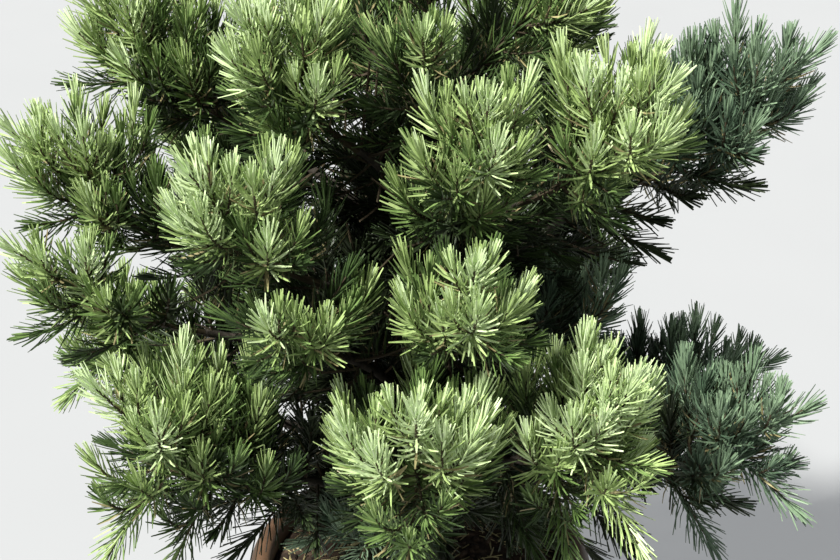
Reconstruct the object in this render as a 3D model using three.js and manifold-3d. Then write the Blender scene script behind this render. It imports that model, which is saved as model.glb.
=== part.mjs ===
// A dwarf conifer in a plain round pot. Millimetres, +Z up, the viewer stands on the -Y side.
// The trunk rises from the soil, each bough is one tapering limb, and each mass of foliage
// is a stem with side shoots, every shoot a slim core whose faces are drawn out into needles.
import * as THREE from "three";
import Module from "manifold-3d";
import { mergeVertices } from "three/addons/utils/BufferGeometryUtils.js";

const wasm = await Module();
wasm.setup();

// Pot
const POT_HEIGHT = 262;
const POT_RIM_RADIUS = 150;
const POT_FOOT_RADIUS = 106;
const POT_WALL = 9;
const POT_FLOOR = 14;
const ROLL_HEIGHT = 34;
const ROLL_DEPTH = 11;
const FOOT_CHAMFER = 4;
const POT_SEGMENTS = 30;
const ROLL_STEPS = 5;
const DRAIN_COUNT = 3;
const DRAIN_RADIUS = 8;
const DRAIN_RING_RADIUS = 58;
const DRAIN_SIDES = 12;

// Soil
const GAP = 0.3;
const SOIL_TOP = 246;
const SOIL_CROWN = 3;
const SOIL_FLAT_RADIUS = 34;

// Trunk
const TRUNK_FOOT = SOIL_TOP + SOIL_CROWN + GAP;
const TRUNK_TIP = 722;
const TRUNK_BASE_RADIUS = 15;
const TRUNK_TIP_RADIUS = 3.4;
const FLARE_RADIUS = 9;
const FLARE_HEIGHT = 15;
const FLARE_LOBES = 5;
const TRUNK_LEAN = new THREE.Vector2(14, 8);
const TRUNK_SWAY = 7;
const TRUNK_SIDES = 10;
const TRUNK_RINGS = 11;

// Boughs
const BOUGH_BASE_RADIUS = 6.6;
const BOUGH_TIP_RADIUS = 2.8;
const BOUGH_SIDES = 5;
const BOUGH_RINGS = 3;
const BOUGH_LEVEL_OUT = 0.42;
const BOUGH_LEVEL_UP = 0.66;

// Needles and shoots
const NEEDLE = 29;
const CORE_RADIUS = 2.5;
const BULK = 5.5;
const CORE_TWIST = THREE.MathUtils.degToRad(50);
const SPLAY_BASE = THREE.MathUtils.degToRad(60);
const SPLAY_TIP = THREE.MathUtils.degToRad(32);
const TUFT = 17;
const SHOOT_LEVELS = 3;
const STEM_RADIUS = 2.8;
const BARE_SHARE = 0.28;
const WHORL_FIRST = 0.14;
const WHORL_LAST = 0.86;
const WHORL_HALF = 0.035;
const WHORL_ROLLS = [[0, 120, -120], [60, 180, -60]];
const ROLL_JITTER = 24;
const OPEN_FIRST = 84;
const OPEN_LAST = 58;
const OPEN_JITTER = 14;
const SHOOT_BEND = 0.42;
const STEM_LIFT = 0.3;
const TERMINAL_SHARE = 0.8;
const CELL_MARGIN = 2.5;
const LIMB_MARGIN = 1.2;
const NEEDLE_FOOT = 4;
const NEEDLE_HALF_WIDTH = 1.2;
const NEEDLE_MARGIN = 0.2;
const NEEDLE_CHECKS = 7;
const SLIVER = 0.02;

// Azimuth is in degrees from the viewer's side (-Y), positive to the right (+X).
// from: height where the bough leaves the trunk. reach, height: where its tip is.
// stem, whorls, length: the mass that it carries, its stem, whorls of shoots and length of a shoot.
// lift: how far its shoots turn up, less hang where they leave its underside. room: its share of the crown.
const BOUGHS = [
  { name: "low_left_front", azimuth: -48, from: 296, reach: 163, height: 416,
    stem: 132, whorls: 5, length: 90, lift: 3.2, room: 120, hang: 4.1 },
  { name: "low_front", azimuth: 0, from: 318, reach: 138, height: 430,
    stem: 136, whorls: 5, length: 97, lift: 3.2, room: 124, hang: 4.2 },
  { name: "low_right_front", azimuth: 32, from: 336, reach: 148, height: 444,
    stem: 114, whorls: 5, length: 80, lift: 3.3, room: 113, hang: 4.1 },
  { name: "low_right", azimuth: 62, from: 304, reach: 168, height: 400,
    stem: 126, whorls: 4, length: 76, lift: 1.9, room: 96, hang: 2.3 },
  { name: "low_right_back", azimuth: 104, from: 322, reach: 154, height: 366,
    stem: 112, whorls: 4, length: 70, lift: 0.5, room: 88, hang: 1.2 },
  { name: "low_back_right", azimuth: 143, from: 300, reach: 142, height: 404,
    stem: 122, whorls: 4, length: 74, lift: 1.7, room: 88, hang: 2.4 },
  { name: "low_back", azimuth: -177, from: 326, reach: 140, height: 416,
    stem: 122, whorls: 4, length: 74, lift: 1.8, room: 88, hang: 2.4 },
  { name: "low_back_left", azimuth: -136, from: 298, reach: 144, height: 400,
    stem: 122, whorls: 4, length: 74, lift: 1.7, room: 88, hang: 2.4 },
  { name: "low_left", azimuth: -94, from: 320, reach: 156, height: 408,
    stem: 118, whorls: 4, length: 72, lift: 1.8, room: 80, hang: 2.4 },
  { name: "mid_left", azimuth: -75, from: 436, reach: 164, height: 574,
    stem: 124, whorls: 4, length: 78, lift: 2.0, room: 96 },
  { name: "mid_left_front", azimuth: -64, from: 408, reach: 182, height: 530,
    stem: 112, whorls: 4, length: 72, lift: 1.8, room: 94 },
  { name: "mid_front_left", azimuth: -36, from: 456, reach: 122, height: 582,
    stem: 118, whorls: 4, length: 82, lift: 2.4, room: 100 },
  { name: "mid_front_low", azimuth: -25, from: 386, reach: 136, height: 534,
    stem: 98, whorls: 4, length: 72, lift: 2.0, room: 100 },
  { name: "mid_front", azimuth: 10, from: 414, reach: 128, height: 544,
    stem: 106, whorls: 4, length: 76, lift: 2.4, room: 100 },
  { name: "mid_right_back", azimuth: 126, from: 420, reach: 126, height: 540,
    stem: 120, whorls: 4, length: 76, lift: 1.8, room: 88 },
  { name: "mid_back", azimuth: 172, from: 402, reach: 126, height: 528,
    stem: 122, whorls: 4, length: 76, lift: 1.8, room: 88 },
  { name: "mid_back_left", azimuth: -126, from: 418, reach: 134, height: 538,
    stem: 120, whorls: 4, length: 76, lift: 1.8, room: 88 },
  { name: "high_front", azimuth: 20, from: 508, reach: 76, height: 620,
    stem: 98, whorls: 4, length: 74, lift: 2.2, room: 104 },
  { name: "high_left", azimuth: -100, from: 534, reach: 128, height: 646,
    stem: 118, whorls: 4, length: 74, lift: 1.6, room: 92 },
  { name: "high_left_front", azimuth: -48, from: 566, reach: 62, height: 664,
    stem: 98, whorls: 4, length: 74, lift: 2.0, room: 96 },
  { name: "high_right_front", azimuth: 52, from: 540, reach: 94, height: 628,
    stem: 120, whorls: 4, length: 78, lift: 2.0, room: 98 },
  { name: "high_right", azimuth: 84, from: 492, reach: 152, height: 618,
    stem: 124, whorls: 4, length: 76, lift: 1.7, room: 94 },
  { name: "high_right_back", azimuth: 136, from: 556, reach: 84, height: 640,
    stem: 110, whorls: 4, length: 76, lift: 1.8, room: 88 },
  { name: "high_back", azimuth: -160, from: 502, reach: 88, height: 626,
    stem: 114, whorls: 4, length: 76, lift: 1.8, room: 88 },
];

// Masses whose stem springs from the trunk itself: height of the stem's foot, and its rise in degrees.
const TRUNK_MASSES = [
  { name: "top_front", azimuth: -4, from: 652, rise: 46,
    stem: 100, whorls: 3, length: 70, lift: 0.7, room: 114 },
  { name: "top_left", azimuth: -120, from: 664, rise: 42,
    stem: 112, whorls: 3, length: 72, lift: 0.7, room: 100 },
  { name: "top_right", azimuth: 92, from: 674, rise: 44,
    stem: 112, whorls: 3, length: 72, lift: 0.7, room: 100 },
  { name: "inner_right", azimuth: 64, from: 472, rise: 12,
    stem: 150, whorls: 4, length: 68, lift: 0.4, room: 74 },
  { name: "inner_left", azimuth: -104, from: 456, rise: 16,
    stem: 136, whorls: 4, length: 68, lift: 0.4, room: 74 },
  { name: "inner_right_low", azimuth: 82, from: 382, rise: 8,
    stem: 138, whorls: 4, length: 66, lift: 0.3, room: 72 },
  { name: "inner_back_left", azimuth: -152, from: 480, rise: 16,
    stem: 128, whorls: 4, length: 68, lift: 0.5, room: 74 },
  { name: "inner_front", azimuth: -20, from: 376, rise: -4,
    stem: 112, whorls: 3, length: 66, lift: 0.1, room: 72, hang: 0.6 },
];
const LEADER = { name: "leader", stem: 80, whorls: 3, length: 62, lift: 0.8, room: 92 };

// Colours
const BARK = { color: 0x4c382a, roughness: 0.85, metalness: 0 };
const FOLIAGE = { color: 0x5f8a45, roughness: 0.55, metalness: 0 };
const CLAY = { color: 0x5a3424, roughness: 0.6, metalness: 0 };
const SOIL = { color: 0x2a1f17, roughness: 0.95, metalness: 0 };

const UP = new THREE.Vector3(0, 0, 1);
const mix = THREE.MathUtils.lerp;
const vec = (x, y, z) => new THREE.Vector3(x, y, z);

// A repeatable stream of numbers from 0 to 1.
function stream(seed) {
  let state = Math.imul(seed + 1, 2654435761) >>> 0;
  return () => {
    state = (Math.imul(state, 1664525) + 1013904223) >>> 0;
    return state / 4294967296;
  };
}

function outward(azimuth) {
  const a = THREE.MathUtils.degToRad(azimuth);
  return vec(Math.sin(a), -Math.cos(a), 0);
}

// Solids in and out of manifold-3d.
function solidOf(geometry) {
  const bare = new THREE.BufferGeometry();
  bare.setAttribute("position", geometry.getAttribute("position"));
  if (geometry.index) bare.setIndex(geometry.index);
  const merged = mergeVertices(bare, 1e-3);
  const corners = [];
  const index = merged.index.array;
  for (let i = 0; i < index.length; i += 3) {
    const [a, b, c] = [index[i], index[i + 1], index[i + 2]];
    if (a !== b && b !== c && c !== a) corners.push(a, b, c);
  }
  const vertProperties = merged.attributes.position.array;
  const triVerts = new Uint32Array(corners);
  return new wasm.Manifold(new wasm.Mesh({ numProp: 3, vertProperties, triVerts }));
}

function geometryOf(solid) {
  const mesh = solid.getMesh();
  const geometry = new THREE.BufferGeometry();
  const points = new Float32Array(mesh.vertProperties);
  geometry.setAttribute("position", new THREE.BufferAttribute(points, 3));
  geometry.setIndex(new THREE.BufferAttribute(new Uint32Array(mesh.triVerts), 1));
  geometry.computeVertexNormals();
  return geometry;
}

const largestOf = (solid) => solid.decompose().reduce((a, b) => (b.volume() > a.volume() ? b : a));

// One body without slivers: its corners are rounded as they are in a mesh, then loose scraps are dropped.
const oneBody = (solid) => largestOf(solidOf(geometryOf(largestOf(solid).simplify(SLIVER))));

// Pot and soil
function potProfile() {
  const slope = (POT_RIM_RADIUS - ROLL_DEPTH - POT_FOOT_RADIUS) / (POT_HEIGHT - ROLL_HEIGHT);
  const bodyRadius = (z) => POT_FOOT_RADIUS + slope * z;
  const rollFoot = POT_HEIGHT - ROLL_HEIGHT;
  const points = [
    new THREE.Vector2(0, 0),
    new THREE.Vector2(POT_FOOT_RADIUS - FOOT_CHAMFER, 0),
    new THREE.Vector2(bodyRadius(FOOT_CHAMFER), FOOT_CHAMFER),
    new THREE.Vector2(bodyRadius(rollFoot), rollFoot),
  ];
  const rollCentre = POT_HEIGHT - ROLL_HEIGHT / 2;
  const inner = POT_RIM_RADIUS - ROLL_DEPTH - POT_WALL;
  for (let i = 0; i <= ROLL_STEPS; i += 1) {
    const a = mix(-0.42, 0.5, i / ROLL_STEPS) * Math.PI;
    points.push(new THREE.Vector2(
      POT_RIM_RADIUS - ROLL_DEPTH + ROLL_DEPTH * Math.cos(a),
      rollCentre + (ROLL_HEIGHT / 2) * Math.sin(a),
    ));
  }
  points.push(new THREE.Vector2(inner + POT_WALL / 3, POT_HEIGHT - 1.5));
  points.push(new THREE.Vector2(inner, POT_HEIGHT - POT_WALL));
  points.push(new THREE.Vector2(bodyRadius(rollFoot) - POT_WALL, rollFoot - POT_WALL));
  points.push(new THREE.Vector2(bodyRadius(POT_FLOOR) - POT_WALL, POT_FLOOR));
  points.push(new THREE.Vector2(0, POT_FLOOR));
  return points;
}

const upright = (geometry) => geometry.rotateX(Math.PI / 2);

function potSolid() {
  let pot = solidOf(upright(new THREE.LatheGeometry(potProfile(), POT_SEGMENTS)));
  for (let i = 0; i < DRAIN_COUNT; i += 1) {
    const bore = new THREE.CylinderGeometry(DRAIN_RADIUS, DRAIN_RADIUS, POT_FLOOR * 3, DRAIN_SIDES);
    const hole = upright(bore);
    const at = outward((360 / DRAIN_COUNT) * i).multiplyScalar(DRAIN_RING_RADIUS);
    pot = pot.subtract(solidOf(hole.translate(at.x, at.y, 0)));
  }
  return pot;
}

// Radius of the pot's inner wall at a height, between its facets.
function innerRadius(z) {
  const slope = (POT_RIM_RADIUS - ROLL_DEPTH - POT_FOOT_RADIUS) / (POT_HEIGHT - ROLL_HEIGHT);
  const facet = Math.cos(Math.PI / POT_SEGMENTS);
  const wall = POT_FOOT_RADIUS + slope * Math.min(z, POT_HEIGHT - ROLL_HEIGHT - POT_WALL) - POT_WALL;
  return wall * facet - GAP;
}

function soilSolid() {
  const bend = POT_HEIGHT - ROLL_HEIGHT - POT_WALL;
  const points = [
    new THREE.Vector2(0, POT_FLOOR + GAP),
    new THREE.Vector2(innerRadius(POT_FLOOR), POT_FLOOR + GAP),
    new THREE.Vector2(innerRadius(bend), bend),
    new THREE.Vector2(innerRadius(bend), SOIL_TOP),
    new THREE.Vector2(mix(SOIL_FLAT_RADIUS, innerRadius(bend), 0.5), SOIL_TOP + SOIL_CROWN * 0.6),
    new THREE.Vector2(SOIL_FLAT_RADIUS, SOIL_TOP + SOIL_CROWN),
    new THREE.Vector2(0, SOIL_TOP + SOIL_CROWN),
  ];
  return solidOf(upright(new THREE.LatheGeometry(points, POT_SEGMENTS)));
}

// Trunk
const trunkHeight = (t) => mix(TRUNK_FOOT, TRUNK_TIP, t);

function trunkAt(height) {
  const t = (height - TRUNK_FOOT) / (TRUNK_TIP - TRUNK_FOOT);
  return vec(
    TRUNK_LEAN.x * t + TRUNK_SWAY * Math.sin(t * 4.4) * t,
    TRUNK_LEAN.y * t - TRUNK_SWAY * Math.sin(t * 3.1) * 0.8,
    height,
  );
}

function trunkRadius(height, around = 0) {
  const t = (height - TRUNK_FOOT) / (TRUNK_TIP - TRUNK_FOOT);
  const flare = FLARE_RADIUS * Math.exp(-(height - TRUNK_FOOT) / FLARE_HEIGHT);
  const lobes = 0.75 + 0.35 * Math.cos(FLARE_LOBES * around);
  return mix(TRUNK_BASE_RADIUS, TRUNK_TIP_RADIUS, Math.pow(t, 0.85)) + flare * lobes;
}

// A closed limb: a cylinder whose rings are laid along a path.
function limb(at, radius, sides, rings) {
  const geometry = new THREE.CylinderGeometry(1, 1, 1, sides, rings);
  const position = geometry.getAttribute("position");
  for (let i = 0; i < position.count; i += 1) {
    const t = position.getY(i) + 0.5;
    const { point, normal, side } = frameAt(at, t);
    const r = radius(t);
    const p = point.addScaledVector(normal, position.getX(i) * r);
    p.addScaledVector(side, position.getZ(i) * r);
    position.setXYZ(i, p.x, p.y, p.z);
  }
  return solidOf(geometry);
}

function frameAt(at, t) {
  const step = 0.01;
  const point = at(t);
  const along = at(Math.min(t + step, 1)).sub(at(Math.max(t - step, 0))).normalize();
  const guide = Math.abs(along.z) > 0.9 ? vec(1, 0, 0) : UP;
  const normal = guide.clone().addScaledVector(along, -guide.dot(along)).normalize();
  return { point, along, normal, side: normal.clone().cross(along) };
}

function trunkSolid(grow) {
  const geometry = new THREE.CylinderGeometry(1, 1, 1, TRUNK_SIDES, TRUNK_RINGS);
  const position = geometry.getAttribute("position");
  for (let i = 0; i < position.count; i += 1) {
    const t = Math.pow(position.getY(i) + 0.5, 1.5);
    const around = Math.atan2(position.getZ(i), position.getX(i));
    const r = trunkRadius(trunkHeight(t), around) + grow;
    const centre = trunkAt(trunkHeight(t));
    const rise = t === 1 ? grow : 0;
    position.setXYZ(i, centre.x + position.getX(i) * r, centre.y - position.getZ(i) * r, centre.z + rise);
  }
  return solidOf(geometry);
}

// Boughs
const quadratic = (a, b, c) => {
  const curve = new THREE.QuadraticBezierCurve3(a, b, c);
  return (t) => curve.getPoint(t);
};

function boughPath(bough) {
  const out = outward(bough.azimuth);
  const start = trunkAt(bough.from);
  const reach = bough.reach;
  const tip = vec(out.x * reach, out.y * reach, bough.height);
  const middle = start.clone().lerp(tip, BOUGH_LEVEL_OUT);
  middle.z = mix(start.z, tip.z, BOUGH_LEVEL_UP);
  return quadratic(start, middle, tip);
}

const boughRadius = (t) => mix(BOUGH_BASE_RADIUS, BOUGH_TIP_RADIUS, Math.pow(t, 0.7));

// Shoots: the same rule grows every mass. They leave the stem in whorls, and every second whorl is turned.
function stemPath(root, along, length, lift) {
  const middle = root.clone().addScaledVector(along, length * 0.5);
  const turned = along.clone().addScaledVector(UP, lift * STEM_LIFT).normalize();
  return quadratic(root, middle, middle.clone().addScaledVector(turned, length * 0.5));
}

function shootPath(start, heading, length, lift) {
  const middle = start.clone().addScaledVector(heading, length * SHOOT_BEND);
  const turned = heading.clone().addScaledVector(UP, lift).normalize();
  return quadratic(start, middle, middle.clone().addScaledVector(turned, length * (1 - SHOOT_BEND)));
}

function growMass(mass, root, along, seed) {
  const next = stream(seed);
  const stem = stemPath(root, along, mass.stem, mass.lift);
  const shoots = [];
  for (let whorl = 0; whorl < mass.whorls; whorl += 1) {
    const t = mix(WHORL_FIRST, WHORL_LAST, whorl / (mass.whorls - 1));
    const { along: axis, normal, side, point } = frameAt(stem, t);
    WHORL_ROLLS[whorl % 2].forEach((roll, face) => {
      const turn = THREE.MathUtils.degToRad(roll + ROLL_JITTER * (next() - 0.5));
      const open = THREE.MathUtils.degToRad(mix(OPEN_FIRST, OPEN_LAST, t) + OPEN_JITTER * (next() - 0.5));
      const length = mass.length * mix(1.12, 0.92, t) * mix(0.9, 1.1, next());
      const away = normal.clone().multiplyScalar(Math.cos(turn));
      away.addScaledVector(side, Math.sin(turn));
      const heading = axis.clone().multiplyScalar(Math.cos(open));
      heading.addScaledVector(away, Math.sin(open));
      const lift = roll === 180 ? mass.lift - (mass.hang ?? 0) : mass.lift;
      shoots.push({ whorl, face, path: shootPath(point, heading, length, lift) });
    });
  }
  const end = frameAt(stem, 1);
  const last = shootPath(end.point, end.along, mass.length * TERMINAL_SHARE, 0);
  shoots.push({ whorl: mass.whorls, face: 0, path: last });
  return { stem, whorls: mass.whorls, shoots };
}

// Room: a mass keeps to the space about its own heart, larger where its room is larger, and off the limbs.
const limbs = [];
const hearts = [];

// A limb or shoot as a course of points with radii.
const samplePath = (at, radius, steps) =>
  Array.from({ length: steps + 1 }, (_, i) => ({ point: at(i / steps), radius: radius(i / steps) }));

function heartOf({ stem, shoots }) {
  const sum = shoots.reduce((total, { path }) => total.add(path(0.7)), stem(0.8));
  return sum.multiplyScalar(1 / (shoots.length + 1));
}

function inCell(point, own) {
  const share = ({ centre, room }) => point.distanceToSquared(centre) - room * room;
  const mine = share(hearts[own]) + CELL_MARGIN * hearts[own].room;
  return hearts.every((heart, i) => i === own || mine < share(heart));
}

// Whether a needle stays off a course of points with radii.
function isOff(foot, tip, course, margin) {
  const needle = new THREE.Line3(foot, tip);
  const onNeedle = vec(0, 0, 0);
  const onCourse = vec(0, 0, 0);
  for (let i = 0; i + 1 < course.length; i += 1) {
    const piece = new THREE.Line3(course[i].point, course[i + 1].point);
    const thickness = Math.max(course[i].radius, course[i + 1].radius);
    for (let s = 0; s <= NEEDLE_CHECKS; s += 1) {
      needle.at(s / NEEDLE_CHECKS, onNeedle);
      piece.closestPointToPoint(onNeedle, true, onCourse);
      const reach = thickness + NEEDLE_FOOT * (1 - s / NEEDLE_CHECKS) + margin;
      if (onNeedle.distanceTo(onCourse) < reach) return false;
    }
  }
  return true;
}

const offAll = (courses, foot, tip, margin) => courses.every((course) => isOff(foot, tip, course, margin));

function roomFor(path, own, taken) {
  for (let s = 0.15; s <= 1; s += 0.085) {
    const p = path(s);
    if (!inCell(p, own) || !offAll(limbs, p, p, CORE_RADIUS)) return false;
    if (s > BARE_SHARE && !offAll(taken, p, p, BULK)) return false;
  }
  const end = frameAt(path, 1);
  return inCell(end.point.addScaledVector(end.along, TUFT), own);
}

// A surface under construction: its points, its triangles, and rings of three points laid about a frame.
class Surface {
  points = [];
  faces = [];

  add(point) {
    this.points.push(point);
    return this.points.length - 1;
  }

  ring({ point, along }, radius, towards) {
    const first = towards.clone().addScaledVector(along, -towards.dot(along)).normalize();
    return [0, 1, 2].map((j) => {
      const out = first.clone().applyAxisAngle(along, (2 * Math.PI * j) / 3);
      return this.add(point.clone().addScaledVector(out, radius));
    });
  }

  // Joins two rings. What stands on a face is decided by the caller, and plain faces stay flat.
  join(lower, upper, stands = () => false) {
    for (let j = 0; j < 3; j += 1) {
      const next = (j + 1) % 3;
      const corners = [lower[j], lower[next], upper[next], upper[j]];
      if (stands(corners, j)) continue;
      this.faces.push([corners[0], corners[1], corners[2]], [corners[0], corners[2], corners[3]]);
    }
  }

  spike(corners, tip) {
    const apex = this.add(tip);
    corners.forEach((corner, i) => this.faces.push([corner, corners[(i + 1) % corners.length], apex]));
  }

  solid() {
    return new wasm.Manifold(new wasm.Mesh({
      numProp: 3,
      vertProperties: new Float32Array(this.points.flatMap((p) => [p.x, p.y, p.z])),
      triVerts: new Uint32Array(this.faces.flat()),
    }));
  }
}

const shootRadius = (t) => CORE_RADIUS + BULK * Math.sin(Math.PI * mix(0.3, 0.84, t));

// A shoot grows out of three corners. Each face of its core is drawn out into a needle where there is room.
function growShoot(surface, foot, path, hasRoom) {
  const start = path(0);
  let towards = surface.points[foot[0]].clone().sub(start);
  let lower = foot;
  for (let k = 0; k <= SHOOT_LEVELS; k += 1) {
    const t = mix(BARE_SHARE, 1, k / SHOOT_LEVELS);
    const frame = frameAt(path, t);
    if (k > 0) towards = towards.clone().applyAxisAngle(frame.along, CORE_TWIST);
    const upper = surface.ring(frame, shootRadius(t), towards);
    surface.join(lower, upper, (corners) => {
      if (k === 0) return false;
      const { root, tip } = needleOn(surface, corners, path, t - (1 - BARE_SHARE) / SHOOT_LEVELS / 2);
      if (!hasRoom(root, tip)) return false;
      surface.spike(corners, tip);
      return true;
    });
    lower = upper;
  }
  const end = frameAt(path, 1);
  surface.spike(lower, end.point.addScaledVector(end.along, TUFT));
}

function needleOn(surface, corners, path, t) {
  const { point, along } = frameAt(path, t);
  const middle = corners.reduce((sum, i) => sum.add(surface.points[i]), vec(0, 0, 0));
  const away = middle.multiplyScalar(1 / corners.length).sub(point);
  away.addScaledVector(along, -away.dot(along)).normalize();
  const splay = mix(SPLAY_BASE, SPLAY_TIP, t);
  const root = point.addScaledVector(away, CORE_RADIUS);
  const tip = root.clone().addScaledVector(away, NEEDLE * Math.sin(splay));
  tip.addScaledVector(along, NEEDLE * Math.cos(splay));
  return { root, tip };
}

function massSolid({ stem, whorls, shoots }, own) {
  const surface = new Surface();
  const kept = [];
  for (const shoot of shoots) {
    const others = kept.map(({ course }) => course);
    if (!roomFor(shoot.path, own, others)) continue;
    const course = samplePath(shoot.path, () => CORE_RADIUS + BULK / 2, 5);
    kept.push({ ...shoot, course });
  }
  const needles = [];
  const grow = (foot, shoot) => {
    const neighbours = kept.filter((other) => other.path !== shoot.path);
    const others = neighbours.map(({ course }) => course).concat(needles);
    growShoot(surface, foot, shoot.path, (root, tip) => {
      if (!inCell(tip, own) || !offAll(limbs, root, tip, LIMB_MARGIN)) return false;
      if (!offAll(others, root, tip, NEEDLE_MARGIN)) return false;
      needles.push([{ point: root, radius: NEEDLE_HALF_WIDTH }, { point: tip, radius: 0 }]);
      return true;
    });
  };
  const ringOn = (t, whorl) => {
    const frame = frameAt(stem, t);
    const turn = THREE.MathUtils.degToRad(whorl % 2 === 0 ? -60 : 0);
    const towards = frame.normal.clone().multiplyScalar(Math.cos(turn));
    towards.addScaledVector(frame.side, Math.sin(turn));
    return surface.ring(frame, STEM_RADIUS, towards);
  };
  let lower = ringOn(0, 0);
  surface.faces.push([lower[0], lower[2], lower[1]]);
  for (let whorl = 0; whorl < whorls; whorl += 1) {
    const t = mix(WHORL_FIRST, WHORL_LAST, whorl / (whorls - 1));
    const foot = ringOn(t - WHORL_HALF, whorl);
    const head = ringOn(t + WHORL_HALF, whorl);
    surface.join(lower, foot);
    surface.join(foot, head, (corners, face) => {
      const shoot = kept.find((one) => one.whorl === whorl && one.face === face);
      if (!shoot) return false;
      surface.faces.push([corners[0], corners[2], corners[3]]);
      grow([corners[0], corners[1], corners[2]], shoot);
      return true;
    });
    lower = head;
  }
  const end = ringOn(1, whorls);
  surface.join(lower, end);
  const last = kept.find((one) => one.whorl === whorls);
  if (last) grow(end, last);
  else surface.faces.push(end);
  return surface.solid();
}

// The assembly
const group = new THREE.Group();

function addMesh(name, solid, look) {
  const mesh = new THREE.Mesh(geometryOf(solid), new THREE.MeshStandardMaterial(look));
  mesh.name = name;
  group.add(mesh);
}

addMesh("pot", potSolid(), CLAY);
addMesh("soil", soilSolid(), SOIL);
addMesh("trunk", trunkSolid(0), BARK);
const trunkRoom = trunkSolid(GAP);

limbs.push(samplePath((t) => trunkAt(trunkHeight(t)), (t) => trunkRadius(trunkHeight(t)), 12));
for (const bough of BOUGHS) limbs.push(samplePath(boughPath(bough), boughRadius, 6));

const masses = [];

function startMass(mass, root, along) {
  masses.push({ ...mass, grown: growMass(mass, root, along, masses.length) });
}

for (const bough of BOUGHS) {
  const path = boughPath(bough);
  const solid = limb(path, boughRadius, BOUGH_SIDES, BOUGH_RINGS).subtract(trunkRoom);
  addMesh(`bough_${bough.name}`, solid, BARK);
  const { point, along } = frameAt(path, 1);
  startMass(bough, point.addScaledVector(along, GAP), along);
}
for (const mass of TRUNK_MASSES) {
  const rise = THREE.MathUtils.degToRad(mass.rise);
  const along = outward(mass.azimuth).multiplyScalar(Math.cos(rise));
  startMass(mass, trunkAt(mass.from), along.addScaledVector(UP, Math.sin(rise)));
}
startMass(LEADER, trunkAt(TRUNK_TIP).addScaledVector(UP, GAP), UP.clone());

for (const { grown, room } of masses) hearts.push({ centre: heartOf(grown), room });
masses.forEach(({ name, grown }, own) => {
  const solid = massSolid(grown, own);
  const onTrunk = TRUNK_MASSES.some((mass) => mass.name === name);
  addMesh(`foliage_${name}`, onTrunk ? oneBody(solid.subtract(trunkRoom)) : solid, FOLIAGE);
});

export default group;
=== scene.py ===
from math import ceil, cos, exp, hypot, pi, radians, sin
from typing import NamedTuple

import bmesh
import bpy
import numpy as np
from mathutils import Matrix, Vector, noise


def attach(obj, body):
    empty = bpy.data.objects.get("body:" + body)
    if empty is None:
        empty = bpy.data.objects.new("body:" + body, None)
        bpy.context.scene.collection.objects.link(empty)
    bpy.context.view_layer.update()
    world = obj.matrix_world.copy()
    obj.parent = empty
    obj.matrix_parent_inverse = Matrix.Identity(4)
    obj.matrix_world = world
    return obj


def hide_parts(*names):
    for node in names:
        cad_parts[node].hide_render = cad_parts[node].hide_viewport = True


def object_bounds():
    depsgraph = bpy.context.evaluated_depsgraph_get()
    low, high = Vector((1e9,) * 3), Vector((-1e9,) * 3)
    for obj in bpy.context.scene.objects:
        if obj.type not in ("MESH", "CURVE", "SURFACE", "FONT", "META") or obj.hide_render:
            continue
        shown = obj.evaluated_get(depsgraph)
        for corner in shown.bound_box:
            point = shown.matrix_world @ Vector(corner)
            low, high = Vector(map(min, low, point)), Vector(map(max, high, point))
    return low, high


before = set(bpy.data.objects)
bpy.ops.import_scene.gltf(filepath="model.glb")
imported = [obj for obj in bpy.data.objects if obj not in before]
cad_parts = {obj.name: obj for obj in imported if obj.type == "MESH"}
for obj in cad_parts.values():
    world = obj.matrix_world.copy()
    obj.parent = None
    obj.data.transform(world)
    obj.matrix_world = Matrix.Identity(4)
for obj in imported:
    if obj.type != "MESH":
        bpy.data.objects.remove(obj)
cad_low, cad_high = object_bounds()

# Lengths are in millimetres, as in the solids, and become metres when a mesh is made.
MM = 0.001
MERGE = 1e-6
GAP = 0.3
UP = np.array((0.0, 0.0, 1.0))

# Sizes of the pot and soil
POT_HEIGHT = 262.0
POT_RIM_RADIUS = 150.0
POT_FOOT_RADIUS = 106.0
POT_WALL = 9.0
POT_FLOOR = 14.0
ROLL_HEIGHT = 34.0
ROLL_DEPTH = 11.0
DRAIN_COUNT = 3
DRAIN_RADIUS = 8.0
DRAIN_RING_RADIUS = 58.0
SOIL_TOP = 246.0
SOIL_CROWN = 3.0

# Sizes of the trunk and boughs
TRUNK_FOOT = SOIL_TOP + SOIL_CROWN + GAP
TRUNK_TIP = 722.0
TRUNK_BASE_RADIUS = 15.0
TRUNK_TIP_RADIUS = 3.4
TRUNK_TAPER = 0.85
FLARE_RADIUS = 9.0
FLARE_HEIGHT = 15.0
FLARE_LOBES = 5
FLARE_MEAN = 0.75
FLARE_LOBE_DEPTH = 0.35
TRUNK_LEAN = (14.0, 8.0)
TRUNK_SWAY = 7.0
SWAY_TURN_X = 4.4
SWAY_TURN_Y = 3.1
SWAY_SHARE_Y = 0.8
BOUGH_BASE_RADIUS = 6.6
BOUGH_TIP_RADIUS = 2.8
BOUGH_TAPER = 0.7
BOUGH_LEVEL_OUT = 0.42
BOUGH_LEVEL_UP = 0.66
# Straight courses that stand for a limb where its distance is measured.
TRUNK_COURSES = 12
BOUGH_COURSES = 6

# Sizes and angles of the shoots
NEEDLE = 23.5
TUFT = 17.0
CORE_RADIUS = 2.5
STEM_RADIUS = 2.8
WHORL_FIRST = 0.14
WHORL_LAST = 0.86
WHORL_ROLLS = ((0, 120, -120), (60, 180, -60))
ROLL_JITTER = 24.0
OPEN_FIRST = 84.0
OPEN_LAST = 58.0
OPEN_JITTER = 14.0
SHOOT_SHARES = (1.12, 0.92)
SHOOT_JITTER = (0.9, 1.1)
SHOOT_BEND = 0.42
STEM_LIFT = 0.3
TERMINAL_SHARE = 0.8
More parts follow.
